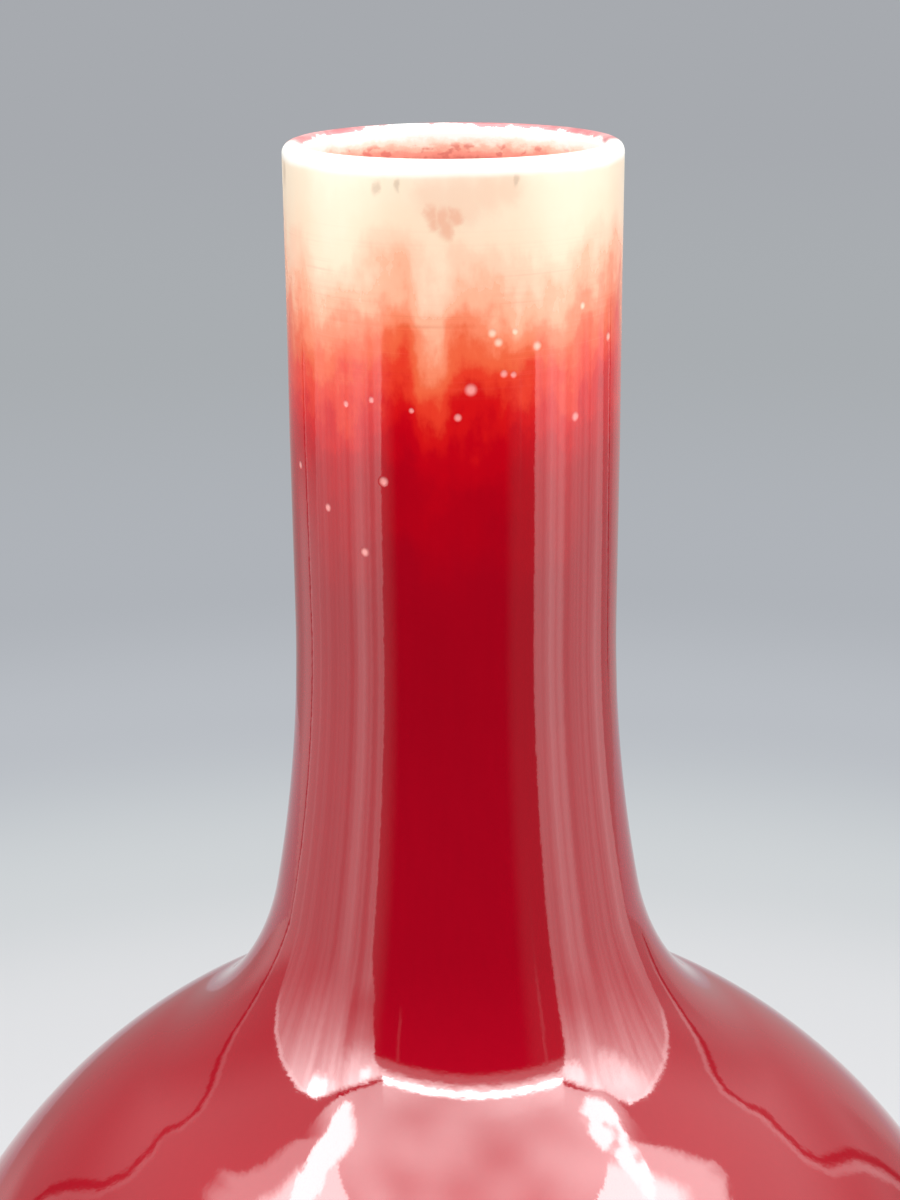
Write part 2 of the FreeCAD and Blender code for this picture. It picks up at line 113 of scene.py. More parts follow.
SEGMENTS = 256
BROAD_DEPTH, RUN_DEPTH = 0.10, 0.018   # how uneven the glaze's skin is, in mm


# Profiles and turned meshes

def arc(centre_x, centre_z, radius, start, end, steps):
    """Points of an arc, the first one left out."""
    points = []
    for i in range(1, steps + 1):
        angle = start + (end - start) * i / steps
        points.append((centre_x + radius * math.cos(angle), centre_z + radius * math.sin(angle)))
    return points


def line(start, end, steps):
    """Points of a straight stretch, the first one left out."""
    return [(start[0] + (end[0] - start[0]) * i / steps, start[1] + (end[1] - start[1]) * i / steps)
            for i in range(1, steps + 1)]


def add_mesh(name, verts, faces):
    mesh = bpy.data.meshes.new(name)
    mesh.from_pydata(verts, [], faces)
    made = bpy.data.objects.new(name, mesh)
    bpy.context.scene.collection.objects.link(made)
    return made


def turned(name, profile, shape=None, segments=SEGMENTS):
    """A closed profile of (radius, height) points turned round the axis. shape moves a point."""
    rows = len(profile)
    verts, faces = [], []
    for i, (r, z) in enumerate(profile):
        for j in range(segments):
            turn = 2 * math.pi * j / segments
            radius, height = shape(i, r, z, turn) if shape else (r, z)
            verts.append((radius * math.cos(turn), radius * math.sin(turn), height))
    for i in range(rows):
        here, after = i * segments, (i + 1) % rows * segments
        for j in range(segments):
            k = (j + 1) % segments
            faces.append((here + j, after + j, after + k, here + k))
    piece = add_mesh(name, verts, faces)
    piece.data.validate()
    piece.data.shade_smooth()
    return piece


def outer_glaze_profile():
    """From inside the mouth, over the lip and down to the rolled edge on the foot."""
    full_z = LIP_LOW.z - THICKENING
    points = [(BORE_RADIUS, LINING_HIGH.z)]
    points += line(points[-1], (BORE_RADIUS, CREST_Z), 6)
    points += arc(CREST_MIDDLE, CREST_Z, CREST_RADIUS, math.pi, 0, 24)
    points += line(points[-1], (LIP_RADIUS, LIP_LOW.z), 18)
    points += line(points[-1], (NECK_RADIUS, full_z), 20)
    points += line(points[-1], (NECK_RADIUS, SWEEP_Z), 20)
    points += arc(SWEEP_X, SWEEP_Z, SWEEP_RADIUS, math.pi, math.pi + SWEEP_ANGLE, 30)
    points += arc(BEND_X, BEND_Z, BEND_RADIUS, math.pi + SWEEP_ANGLE, math.pi + SHOULDER_ANGLE, 36)
    points += arc(0, GLOBE_Z, GLOBE_RADIUS, SHOULDER_ANGLE, POOL_ANGLE - math.pi, 126)
    points += arc(POOL_X, POOL_Z, POOL_RADIUS, POOL_ANGLE, math.pi, 10)
    points += line(points[-1], (FOOT_RADIUS + ROLL_RADIUS, ROLL_Z), 4)
    points += arc(FOOT_RADIUS, ROLL_Z, ROLL_RADIUS, 0, -math.pi / 2, 8)
    return points


def inner_glaze_profile():
    """Back up along the porcelain, where nothing shows."""
    coat = GLOBE_RADIUS - BARE_GLOBE_RADIUS
    seat_angle = -math.acos(FOOT_RADIUS / BARE_GLOBE_RADIUS)
    points = [(FOOT_RADIUS, FOOT_HIGH.z)]
    points += arc(0, GLOBE_Z, BARE_GLOBE_RADIUS, seat_angle, SHOULDER_ANGLE, 24)
    points += arc(BEND_X, BEND_Z, BEND_RADIUS + coat, math.pi + SHOULDER_ANGLE, math.pi + SWEEP_ANGLE, 10)
    points += arc(SWEEP_X, SWEEP_Z, SWEEP_RADIUS + coat, math.pi + SWEEP_ANGLE, math.pi, 6)
    points += [(NECK_HIGH.x, CREST_Z)]
    points += [(NECK_HIGH.x - END_BEVEL, NECK_HIGH.z), (LINING_HIGH.x + END_BEVEL, NECK_HIGH.z)]
    points += [(LINING_HIGH.x, CREST_Z), (LINING_HIGH.x, LINING_HIGH.z)]
    return points


def normals_of(profile):
    """Outward normals of an open profile that runs down the outside."""
    found = []
    for i in range(len(profile)):
        before, after = profile[max(i - 1, 0)], profile[min(i + 1, len(profile) - 1)]
        along = Vector((after[0] - before[0], after[1] - before[1])).normalized()
        found.append(Vector((-along.y, along.x)))
    return found


def unevenness(x, y, z):
    """How far the glaze's skin lies inside its true outline there, from 0 up, in metres."""
    broad = noise.noise(Vector((x, y, z)) * 14) * 0.5 + 0.5
    runs = noise.noise(Vector((x * 110, y * 110, z * 9))) * 0.5 + 0.5
    return (BROAD_DEPTH * broad + RUN_DEPTH * runs) * MM


def make_glaze():
    """The red coat and the lip's coat in one, with their slight unevenness."""
    outer, inner = outer_glaze_profile(), inner_glaze_profile()
    normals = normals_of(outer)
    last = len(outer) - 1
    normals[last] = Vector((0, -1))

    def shape(i, r, z, turn):
        if i > last or i == 0:
            return r, z
        inwards = unevenness(r * math.cos(turn), r * math.sin(turn), z)
        return r - normals[i].x * inwards, z - normals[i].y * inwards

    piece = turned("glaze_coat", outer + inner, shape)
    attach(piece, "root")
    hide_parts("red_glaze", "lip_glaze")
    return piece


def make_lining():
    """The coat inside the neck, with fine rows where the mouth shows it."""
    points = [(BORE_RADIUS, LINING_LOW.z)]
    points += line(points[-1], (BORE_RADIUS, LINING_HIGH.z), 60)
    points += [(LINING_HIGH.x, LINING_HIGH.z), (LINING_HIGH.x, LINING_LOW.z)]
    piece = turned("neck_lining", points, segments=SEGMENTS // 2)
    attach(piece, "root")
    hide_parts("neck_lining_glaze")
    return piece


# Node graphs

class Graph:
    """Builds the nodes of a material or a world. Values are numbers or sockets."""

    def __init__(self, owner):
        owner.use_nodes = True
        self.owner = owner
        self.tree = owner.node_tree
        self.tree.nodes.clear()

    def node(self, kind, **settings):
        made = self.tree.nodes.new(kind)
        for key, value in settings.items():
            setattr(made, key, value)
        return made

    def put(self, socket, value):
        if isinstance(value, bpy.types.NodeSocket):
            self.tree.links.new(value, socket)
        else:
            socket.default_value = value

    def filled(self, made, *values):
        """The same node, with values in its first inputs."""
        for socket, value in zip(made.inputs, values):
            self.put(socket, value)
        return made

    def math(self, operation, first, second=0.0, third=0.0, clamp=False):
        made = self.node("ShaderNodeMath", operation=operation, use_clamp=clamp)
        return self.filled(made, first, second, third).outputs[0]

    def step(self, value, low, high, start=0.0, end=1.0):
        """Runs smoothly from start to end as value goes from low to high."""
        made = self.node("ShaderNodeMapRange", interpolation_type="SMOOTHSTEP")
        return self.filled(made, value, low, high, start, end).outputs[0]

    def vector(self, x, y, z):
        return self.filled(self.node("ShaderNodeCombineXYZ"), x, y, z).outputs[0]

    def parts(self, vector):
        """Its x, y and z."""
        return self.filled(self.node("ShaderNodeSeparateXYZ"), vector).outputs

    def scaled(self, vector, scales):
        made = self.node("ShaderNodeVectorMath", operation="MULTIPLY")
        return self.filled(made, vector, scales).outputs[0]

    def shifted(self, vector, shift):
        made = self.node("ShaderNodeVectorMath", operation="ADD")
        return self.filled(made, vector, shift).outputs[0]

    def distance(self, vector, place):
        made = self.node("ShaderNodeVectorMath", operation="DISTANCE")
        return self.filled(made, vector, place).outputs["Value"]

    def noise(self, vector, detail=2.0, roughness=0.5):
        made = self.node("ShaderNodeTexNoise")
        self.put(made.inputs["Vector"], vector)
        made.inputs["Scale"].default_value = 1.0
        made.inputs["Detail"].default_value = detail
        made.inputs["Roughness"].default_value = roughness
        return made.outputs["Fac"]

    def swing(self, vector, detail=2.0, roughness=0.5):
        """Noise from about -1 to 1."""
        return self.math("MULTIPLY_ADD", self.noise(vector, detail, roughness), 2.0, -1.0)

    def mix(self, share, first, second):
        """The first colour, with a share of the second."""
        made = self.node("ShaderNodeMix", data_type="RGBA", clamp_factor=True)
        self.put(made.inputs["Factor"], share)
        self.put(made.inputs[6], first)
        self.put(made.inputs[7], second)
        return made.outputs[2]

    def ramp(self, value, stops):
        """stops are (value, colour) pairs, upwards."""
        low, high = stops[0][0], stops[-1][0]
        made = self.node("ShaderNodeValToRGB")
        made.color_ramp.interpolation = "EASE"
        elements = made.color_ramp.elements
        while len(elements) < len(stops):
            elements.new(0.5)
        for element, (place, _) in zip(elements, stops):
            element.position = (place - low) / (high - low)
        for element, (_, colour) in zip(elements, stops):
            element.color = colour
        self.put(made.inputs[0], self.math("DIVIDE", self.math("SUBTRACT", value, low), high - low))
        return made.outputs[0]

    def bump(self, height, distance, normal=None):
        made = self.node("ShaderNodeBump")
        made.inputs["Distance"].default_value = distance
        self.put(made.inputs["Height"], height)
        if normal is not None:
            self.put(made.inputs["Normal"], normal)
        return made.outputs["Normal"]

    def mix_surfaces(self, share, first, second):
        return self.filled(self.node("ShaderNodeMixShader"), share, first, second).outputs[0]

    def show(self, surface, output="ShaderNodeOutputMaterial"):
        """Ends the graph with a surface, and gives back what it belongs to."""
        self.put(self.node(output).inputs["Surface"], surface)
        return self.owner

    def finish(self, colour, roughness, normal, **constants):
        """Ends a material. The constants are set on the shader's own sockets."""
        shader = self.node("ShaderNodeBsdfPrincipled")
        self.put(shader.inputs["Base Color"], colour)
        self.put(shader.inputs["Roughness"], roughness)
        self.put(shader.inputs["Normal"], normal)
        for key, value in constants.items():
            shader.inputs[key.replace("_", " ")].default_value = value
        return self.show(shader.outputs[0])


def new_graph(name):
    """The graph of a new material."""
    return Graph(bpy.data.materials.new(name))


def tone(red, green, blue):
    """A colour given as it looks, 0 to 255, as a shader colour."""
    def straight(value):
        value /= 255
        return value / 12.92 if value <= 0.04045 else ((value + 0.055) / 1.055) ** 2.4
    return straight(red), straight(green), straight(blue), 1.0


def place_in_mm(g):
    """The point on the piece in millimetres."""
    return g.scaled(g.node("ShaderNodeTexCoord").outputs["Object"], (1 / MM, 1 / MM, 1 / MM))


def from_axis(g, point):
    """How far a point lies from the vase's axis."""
    x, y, _ = g.parts(point)
    return g.math("SQRT", g.math("ADD", g.math("MULTIPLY", x, x), g.math("MULTIPLY", y, y)))


# Glaze

GLAZE_IOR = 1.75
GLOSSY, SATIN = 0.045, 0.28        # roughness of the thick red and of the thin cream

# Heights in mm between which something fades in.
EVEN_LEVELS = (430, 412)
THIN_ABOVE, THIN_BELOW = (389, 397), (424, 410)
THICK_BELOW = (395, 370)
POOLED_BELOW = (34, 6)
SATIN_ABOVE = (392, 412)
WHITE_ABOVE = (429.0, 430.5)
ROSE_ABOVE = (427.4, 428.6)
PALE_HOLES_ABOVE = (394, 402)
# The radius in mm inside which the glaze takes on the look of the bore.
BORE_WITHIN = (28.3, 27.8)

# Places on the outside: degrees round from the middle of the front, positive to the right,
# height in mm, and radius in mm.
PINHOLES = [
    (5.2, 392.3, 1.1), (43.5, 385.3, 0.85), (27.8, 399.4, 0.85), (16, 394.9, 0.7), (1, 387.3, 0.7),
    (-24, 374.9, 0.85), (-47.6, 367.9, 0.75), (-31.5, 361, 0.85), (12.2, 402.3, 0.8), (14.2, 400.6, 0.8),
    (19.8, 402.4, 0.6), (19.3, 394.6, 0.6), (62.8, 398.2, 0.8), (46.6, 405.4, 0.7), (-38, 388.4, 0.6),
    (-28, 389.8, 0.6), (-14, 388.4, 0.5), (-65.5, 373.8, 0.7), (-110, 392, 0.8), (120, 381, 0.8),
    (170, 396, 0.9),
]
SMUDGES = [
    (-76, 427.5, 1.5), (-25, 427.4, 0.9), (-17.5, 428, 0.7), (20.6, 428.4, 0.7), (140, 427, 1.2),
    (-150, 426, 1.0),
]
# The run of glaze below the lip: pale blobs, and darker drips at their lower end.
RUN_BLOBS = [
    (-6, 426.3, 4.2), (2, 426.0, 5.0), (10, 426.6, 4.2), (17, 427.4, 3.4), (-3, 422.8, 3.4), (5, 424, 3.4),
]
RUN_DRIPS = [
    (-7.4, 423.4, 1.3), (-6.6, 421.6, 1.1), (-3.2, 422.4, 1.6), (-2.4, 420.6, 1.4), (0.5, 422.8, 1.2),
]
# Where the pale glaze runs lower, and where the red climbs: degrees round, and half width in mm.
PALE_RUNS = [(-42, 7), (-7, 3.5), (100, 10), (150, 8), (-105, 9), (-160, 10)]
RED_RUNS = [(-19, 6), (52, 6), (70, 7), (125, 9), (-130, 10), (180, 6)]

# Colours outside by height in mm, and inside by depth below the rim in mm.
RED_STOPS = [
    (300, tone(158, 4, 26)), (352, tone(158, 3, 24)), (372, tone(174, 2, 22)), (381, tone(190, 3, 21)),
    (386, tone(208, 18, 22)), (391.5, tone(226, 58, 38)), (397.5, tone(234, 98, 62)),
    (403, tone(242, 134, 98)), (409, tone(245, 174, 140)), (414, tone(243, 198, 168)),
    (419, tone(241, 213, 184)), (426, tone(239, 218, 191)), (432, tone(242, 226, 202)),
]
INSIDE_STOPS = [
    (0, tone(255, 253, 248)), (2.6, tone(254, 251, 244)), (3.6, tone(252, 230, 212)),
    (4.5, tone(246, 192, 168)), (5.6, tone(238, 152, 132)), (7.5, tone(214, 112, 100)),
    (12, tone(190, 88, 84)), (60, tone(150, 66, 70)),
]


def on_outside(degrees, height, radius):
    turn = math.radians(degrees)
    return radius * math.sin(turn), -radius * math.cos(turn), height


def spots(g, point, places, radius, flatten=1.0):
    """A mask with a soft dot at each place. flatten below 1 makes them tall."""
    point = g.scaled(point, (1, 1, flatten))
    total = 0.0
    for degrees, height, size in places:
        gap = g.distance(point, on_outside(degrees, height * flatten, radius))
        total = g.math("MAXIMUM", total, g.step(gap, size * 0.3, size * 1.3, 1.0, 0.0))
    return total


def bands(g, point, places):
    """A mask with a soft upright band round the neck at each place."""
    return spots(g, point, [(degrees, 0, size) for degrees, size in places], NECK_RADIUS / MM, 0.0)


def run_level(g, point, cloud):
    """The height, moved by up to some mm where the glaze ran down in soft, ragged fingers."""
    z = g.parts(point)[2]
    columns = g.swing(g.scaled(point, (0.13, 0.13, 0.04)), detail=2.0)
    beside = g.shifted(point, (40, 0, 0))
    fingers = g.swing(g.scaled(beside, (0.30, 0.30, 0.16)), detail=4.0, roughness=0.6)
    moved = 0.0
    for mask, reach in (
        (columns, 8.0),
        (fingers, 6.0),
        (cloud, 8.0),
        (bands(g, point, PALE_RUNS), 3.5),
        (bands(g, point, RED_RUNS), -4.0),
    ):
        moved = g.math("ADD", moved, g.math("MULTIPLY", mask, reach))
    return g.math("MULTIPLY_ADD", moved, g.step(z, *EVEN_LEVELS, 0.35, 1.0), z)


def turning_lines(g, point):
    """Fine level lines left by turning, in patches where the glaze is thin."""
    z = g.parts(point)[2]
    lines = g.swing(g.scaled(point, (0.006, 0.006, 1.2)), detail=2.0, roughness=0.7)
    patches = g.noise(g.scaled(point, (0.07, 0.07, 0.12)), detail=3.0)
    thin = g.math("MULTIPLY", g.step(z, *THIN_ABOVE), g.step(z, *THIN_BELOW))
    return g.math("MULTIPLY", g.math("MULTIPLY", lines, thin), g.step(patches, 0.38, 0.62))


def deepened(g, point, colour):
    """The thick glaze is slightly clouded, and darker where it pools at the foot."""
    z = g.parts(point)[2]
    depth = g.swing(g.scaled(point, (0.03, 0.03, 0.03)), detail=3.0)
    fur = g.swing(g.scaled(point, (0.8, 0.8, 0.03)), detail=2.0)
    tint = g.math("ADD", g.math("MULTIPLY", depth, 0.10), g.math("MULTIPLY", fur, 0.05))
    darker = g.math("MULTIPLY", g.math("SUBTRACT", 0.06, tint), g.step(z, *THICK_BELOW), clamp=True)
    colour = g.mix(darker, colour, tone(70, 0, 10))
    pooled = g.step(g.math("ADD", z, g.math("MULTIPLY", depth, 4.0)), *POOLED_BELOW)
    return g.mix(g.math("MULTIPLY", pooled, 0.6), colour, tone(84, 4, 16))


def with_run(g, point, colour):
    """The run of greyish pink glaze below the lip with its drips, and the smudges."""
    ragged = g.swing(g.scaled(point, (0.35, 0.35, 0.35)), detail=4.0, roughness=0.6)
    shake = g.vector(g.math("MULTIPLY", ragged, 1.6), 0.0, g.math("MULTIPLY", ragged, -1.2))
    shaken = g.shifted(point, shake)
    for places, flatten, share, shade in (
        (RUN_BLOBS, 1.0, 0.45, tone(236, 184, 156)),
        (RUN_DRIPS, 0.7, 0.55, tone(226, 152, 120)),
        (SMUDGES, 0.55, 0.5, tone(186, 156, 130)),
    ):
        mask = spots(g, shaken, places, LIP_RADIUS / MM, flatten)
        colour = g.mix(g.math("MULTIPLY", mask, share), colour, shade)
    return colour


def with_lip(g, point, cloud, colour):
    """The lip is white, and its far side keeps a ragged line of rose on the outer edge."""
    x, y, z = g.parts(point)
    white = g.step(g.math("MULTIPLY_ADD", cloud, 0.8, z), *WHITE_ABOVE)
    colour = g.mix(white, colour, tone(252, 250, 242))
    # The line's inner edge is an angle round the lip's crest, in radians up from the outside.
    rise = g.math("SUBTRACT", z, CREST_Z / MM)
    crest = g.math("ARCTAN2", rise, g.math("SUBTRACT", from_axis(g, point), CREST_MIDDLE / MM))
    jags = g.swing(g.scaled(point, (0.16, 0.16, 0.1)), detail=5.0, roughness=0.7)
    wide = g.step(g.math("ABSOLUTE", x), 12, 28, 2.1, 2.5)
    reach = g.math("MULTIPLY_ADD", jags, 1.9, wide)
    line_share = g.step(g.math("SUBTRACT", reach, crest), 0.0, 0.12)
    low_edge = g.step(g.math("MULTIPLY_ADD", jags, 1.6, z), *ROSE_ABOVE)
    behind = g.step(g.math("MULTIPLY_ADD", jags, 5.0, y), -3, 3)
    line_share = g.math("MULTIPLY", line_share, g.math("MULTIPLY", low_edge, behind))
    rose = g.mix(g.step(jags, -0.25, 0.3), tone(226, 150, 150), tone(184, 92, 98))
    return g.mix(g.math("MULTIPLY", line_share, 0.95), colour, rose)


def bore_colour(g, point):
    """Inside the mouth: white, then ragged peach and dusky red with dark flecks."""
    rags = g.swing(g.scaled(point, (0.22, 0.22, 0.35)), detail=4.0, roughness=0.65)
    below = g.math("SUBTRACT", LIP_HIGH.z / MM, g.parts(point)[2])
    colour = g.ramp(g.math("MULTIPLY_ADD", rags, 2.0, below), INSIDE_STOPS)
    flecks = g.noise(g.scaled(point, (0.38, 0.38, 0.5)), detail=2.0)
    share = g.math("MULTIPLY", g.step(flecks, 0.56, 0.66), g.step(below, 3.4, 4.6))
    return g.mix(g.math("MULTIPLY", share, 0.65), colour, tone(206, 100, 88))


def glaze_normal(g, point, lines, holes):
    """Orange peel, fine grain, turning lines and pinholes."""
    peel = g.noise(g.scaled(point, (0.45, 0.45, 0.45)), detail=2.0)
    grain = g.noise(g.scaled(point, (1.6, 1.6, 1.6)), detail=2.0)
    normal = g.bump(peel, 0.012 * MM)
    normal = g.bump(grain, 0.0015 * MM, normal)
    normal = g.bump(lines, 0.004 * MM, normal)
    return g.bump(g.math("MULTIPLY", holes, -1.0), 0.08 * MM, normal)


def glaze_material(name):
    """Copper red that thins through orange to cream at the lip, outside and in the bore."""
    g = new_graph(name)
    point = place_in_mm(g)
    cloud = g.swing(g.scaled(point, (0.07, 0.07, 0.09)), detail=4.0)
    level = run_level(g, point, cloud)
    lines = turning_lines(g, point)
    holes = spots(g, point, PINHOLES, NECK_RADIUS / MM)

    outside = g.ramp(level, RED_STOPS)
    outside = g.mix(g.math("MULTIPLY", lines, 0.12, clamp=True), outside, tone(252, 216, 184))
    outside = g.mix(g.math("MULTIPLY", lines, -0.6, clamp=True), outside, tone(206, 96, 56))
    outside = with_run(g, point, deepened(g, point, outside))
    paleness = g.step(g.parts(point)[2], *PALE_HOLES_ABOVE)
    hole_colour = g.mix(paleness, tone(250, 166, 160), tone(252, 216, 190))
    outside = g.mix(g.math("MULTIPLY", holes, 0.8), outside, hole_colour)
    outside = with_lip(g, point, cloud, outside)

    within = g.step(from_axis(g, point), *BORE_WITHIN)
    colour = g.mix(within, outside, bore_colour(g, point))
    roughness = g.step(level, *SATIN_ABOVE, GLOSSY, SATIN)
    return g.finish(colour, roughness, glaze_normal(g, point, lines, holes), IOR=GLAZE_IOR)


# Bare and pale materials

def porcelain_material():
    """Unglazed porcelain, browned where the glaze ends, with turning marks."""
    g = new_graph("bare_porcelain")
    point = place_in_mm(g)
    z = g.parts(point)[2]
    cloud = g.noise(g.scaled(point, (0.09, 0.09, 0.09)), detail=4.0)
    colour = g.mix(g.step(cloud, 0.35, 0.7), tone(226, 218, 202), tone(208, 194, 172))
    grit = g.noise(g.scaled(point, (1.3, 1.3, 1.3)), detail=3.0)
    colour = g.mix(g.step(grit, 0.66, 0.72, 0.0, 0.6), colour, tone(120, 88, 62))
    browned = g.step(g.math("MULTIPLY_ADD", cloud, 3.0, z), 2.2, 4.6)
    colour = g.mix(g.math("MULTIPLY", browned, 0.5), colour, tone(176, 128, 88))
    across, up = g.math("MULTIPLY", from_axis(g, point), 1.4), g.math("MULTIPLY", z, 1.4)
    rings = g.noise(g.vector(across, up, 0.0), detail=3.0)
    normal = g.bump(rings, 0.12 * MM)
    normal = g.bump(grit, 0.05 * MM, normal)
    roughness = g.math("MULTIPLY_ADD", cloud, 0.2, 0.55)
    return g.finish(colour, roughness, normal)


def slip_material():
    """Fired slip in the joints, matt and slightly clouded."""
    g = new_graph("fired_slip")
    cloud = g.noise(g.scaled(place_in_mm(g), (0.3, 0.3, 0.8)), detail=4.0)
    colour = g.mix(cloud, tone(214, 204, 186), tone(196, 184, 162))
    return g.finish(colour, g.math("MULTIPLY_ADD", cloud, 0.2, 0.6), g.bump(cloud, 0.1 * MM))


def pale_glaze_material():
    """The glossy coat in the recess under the base."""
    g = new_graph("pale_base_glaze")
    point = place_in_mm(g)
    cloud = g.noise(g.scaled(point, (0.05, 0.05, 0.05)), detail=3.0)
    colour = g.mix(cloud, tone(232, 228, 210), tone(216, 214, 196))
    specks = g.noise(g.scaled(point, (0.9, 0.9, 0.9)), detail=2.0)
    colour = g.mix(g.step(specks, 0.70, 0.74, 0.0, 0.6), colour, tone(140, 110, 84))
    peel = g.noise(g.scaled(point, (0.3, 0.3, 0.3)), detail=2.0)
    return g.finish(colour, 0.08, g.bump(peel, 0.03 * MM), Coat_Weight=0.6, Coat_Roughness=0.04)


# Floor and background. Distances from the vase's axis are in metres.

FLOOR_RADIUS = 12.0
FLOOR_SIDES = 64
FLOOR_DROP = 0.05 * MM             # keeps the floor clear of the foot
FLOOR_GLOW_FROM = (0.30, 0.75)     # nearer, the floor shows the vase's shadow
FLOOR_COLOUR = tone(206, 207, 209)
BACK_FAR = tone(167, 170, 175)
WORLD_LIGHT = 0.48

# How the floor looks by distance, where it glows: a painted fall-off of light, pale near the vase and grey
# far off.
PAINTED_FLOOR_FALLOFF = [
    (0.30, tone(234, 235, 238)), (0.46, tone(222, 224, 227)), (0.58, tone(205, 210, 213)),
    (0.80, tone(186, 190, 196)), (1.05, tone(175, 179, 185)), (1.9, tone(169, 173, 177)),
    (4.0, BACK_FAR),
]


def seen_by_eye(g):
    """1 for rays from the camera, and for those that a mirror or glass sends on."""
    path = g.node("ShaderNodeLightPath")
    first = g.math("MAXIMUM", path.outputs["Is Camera Ray"], path.outputs["Is Glossy Ray"])
    return g.math("MAXIMUM", first, path.outputs["Is Transmission Ray"])


def floor_material():
    g = new_graph("pale_floor")
    away = g.distance(g.node("ShaderNodeTexCoord").outputs["Object"], (0, 0, 0))
    glow = g.node("ShaderNodeEmission")
    # The glow by distance is painted light, falling off away from the vase.
    g.put(glow.inputs["Color"], g.ramp(away, PAINTED_FLOOR_FALLOFF))
    paint = g.node("ShaderNodeBsdfDiffuse")
    paint.inputs["Color"].default_value = FLOOR_COLOUR
    share = g.math("MULTIPLY", seen_by_eye(g), g.step(away, *FLOOR_GLOW_FROM))
    return g.show(g.mix_surfaces(share, paint.outputs[0], glow.outputs[0]))


def make_floor():
    """A plain disc, so wide that its edge isn't seen."""
    turns = [2 * math.pi * i / FLOOR_SIDES for i in range(FLOOR_SIDES)]
    verts = [(0, 0, 0)]
    verts += [(FLOOR_RADIUS * math.cos(turn), FLOOR_RADIUS * math.sin(turn), 0) for turn in turns]
    faces = [(0, i + 1, (i + 1) % FLOOR_SIDES + 1) for i in range(FLOOR_SIDES)]
    floor = add_mesh("floor", verts, faces)
    floor.location.z = -FLOOR_DROP
    floor.data.materials.append(floor_material())


def background(g, colour, strength):
    made = g.node("ShaderNodeBackground")
    made.inputs["Color"].default_value = colour
    made.inputs["Strength"].default_value = strength
    return made.outputs[0]


def make_world():
    """An even light for the colours, and a grey backdrop for the eye."""
    world = bpy.data.worlds.new("world")
    bpy.context.scene.world = world
    g = Graph(world)
    light, seen = background(g, (1, 1, 1, 1), WORLD_LIGHT), background(g, BACK_FAR, 1.0)
    g.show(g.mix_surfaces(seen_by_eye(g), light, seen), "ShaderNodeOutputWorld")


# Lamps. Directions from the tent's middle are in degrees: azimuth 0 is towards the camera,
# positive to the camera's right.

TENT_RADIUS = 0.9
TENT_MIDDLE = 0.3                  # its height

# Name, azimuth, elevation, distance, width and height in metres, and radiance.
SOFTBOXES = [
    ("left_softbox", -82, 42, 0.9, 0.9, 0.7, 3.0),
    ("right_softbox", 86, 42, 0.9, 0.9, 0.7, 3.1),
    ("top_softbox", 5, 58, 1.0, 1.2, 0.8, 2.9),
]


def way(azimuth, elevation):
    """A direction as a vector."""
    a, e = math.radians(azimuth), math.radians(elevation)
    return Vector((math.sin(a) * math.cos(e), -math.cos(a) * math.cos(e), math.sin(e)))


def panel_lamp(name, place, facing, width, height, radiance):
    """A rectangular softbox that lights the colours but isn't mirrored: the tent is."""
    data = bpy.data.lights.new(name, "AREA")
    data.shape = "RECTANGLE"
    data.size, data.size_y = width, height
    data.energy = radiance * width * height * math.pi
    lamp = bpy.data.objects.new(name, data)
    bpy.context.scene.collection.objects.link(lamp)
    lamp.location = place
    lamp.rotation_euler = (place - facing).to_track_quat("Z", "Y").to_euler()
    lamp.visible_camera = False
    lamp.visible_glossy = False


def make_lamps():
    middle = Vector((0, 0, TENT_MIDDLE))
    for name, azimuth, elevation, distance, width, height, radiance in SOFTBOXES:
        place = middle + way(azimuth, elevation) * distance
        panel_lamp(name, place, middle, width, height, radiance)


# The tent of softboxes that the glaze mirrors. In its functions e is an elevation, turn is how
# far a direction lies to either side of the camera's, and aside how far from the arc's middle.
# A glow of 1 is white. The last number of a noise only picks its pattern.

TENT_STEPS = 3                     # to a degree
TENT_BOTTOM = -19
SIDE_START = 66                    # the room behind the walls is only seen beyond this
ARC_TURN = 6.0                     # the bright arc is turned this far to the right
ARC_TOP, ARC_SAG = 31.1, 0.0031
ARC_GLOW, STREAK_GLOW, TOP_GLOW = 18.0, 13.0, 3.2

# Elevation, then the azimuths of the inner and outer edge there.
LEFT_STREAK = [
    (30, -54, -57.5), (36, -50, -63), (43, -53, -71), (48, -60, -79), (53, -69, -86), (57, -78, -91),
]
RIGHT_STREAK = [(28, 62, 72), (35, 57, 78), (40, 64, 85), (44, 73, 89), (48, 82, 94), (52, 90, 98)]
# Elevation, then how far the walls reach to either side of the arc's middle.
WALL_OUTLINE = [(-17, 118), (-2, 114), (6, 107), (15, 97), (24, 85), (28, 75), (30, 68)]
# Azimuth, elevation, half width and half height of the walls' brightest places, then how bright.
WALL_PATCHES = [(-47, 23, 5, 3, 6), (-70, 25, 7, 4, 10), (59, 22.5, 6, 3, 5), (80, 20, 13, 5, 3.5)]
# Corners of the dark seams in the room behind, azimuth and elevation.
LEFT_SEAM = [
    (-122, -18), (-125, -8), (-125, 0.5), (-122.5, 7), (-118.5, 15), (-118.5, 20), (-122, 23), (-127, 24),
]
RIGHT_SEAM = [
    (136, -17), (133, -12), (131.8, -6), (129.3, 1.7), (123.7, 11), (123.7, 15), (127.5, 18.2), (131, 19),
]


def ease(value, low, high):
    """Runs smoothly from 0 to 1 as value goes from low to high. low may be the greater."""
    share = min(max((value - low) / (high - low), 0.0), 1.0)
    return share * share * (3 - 2 * share)


def between(rows, height):
    """The numbers that go with a height, from rows that start with one. The ends carry on."""
    height = min(max(height, rows[0][0]), rows[-1][0])
    for low, high in zip(rows, rows[1:]):
        if height <= high[0]:
            share = (height - low[0]) / (high[0] - low[0])
            return [a + (b - a) * share for a, b in zip(low[1:], high[1:])]


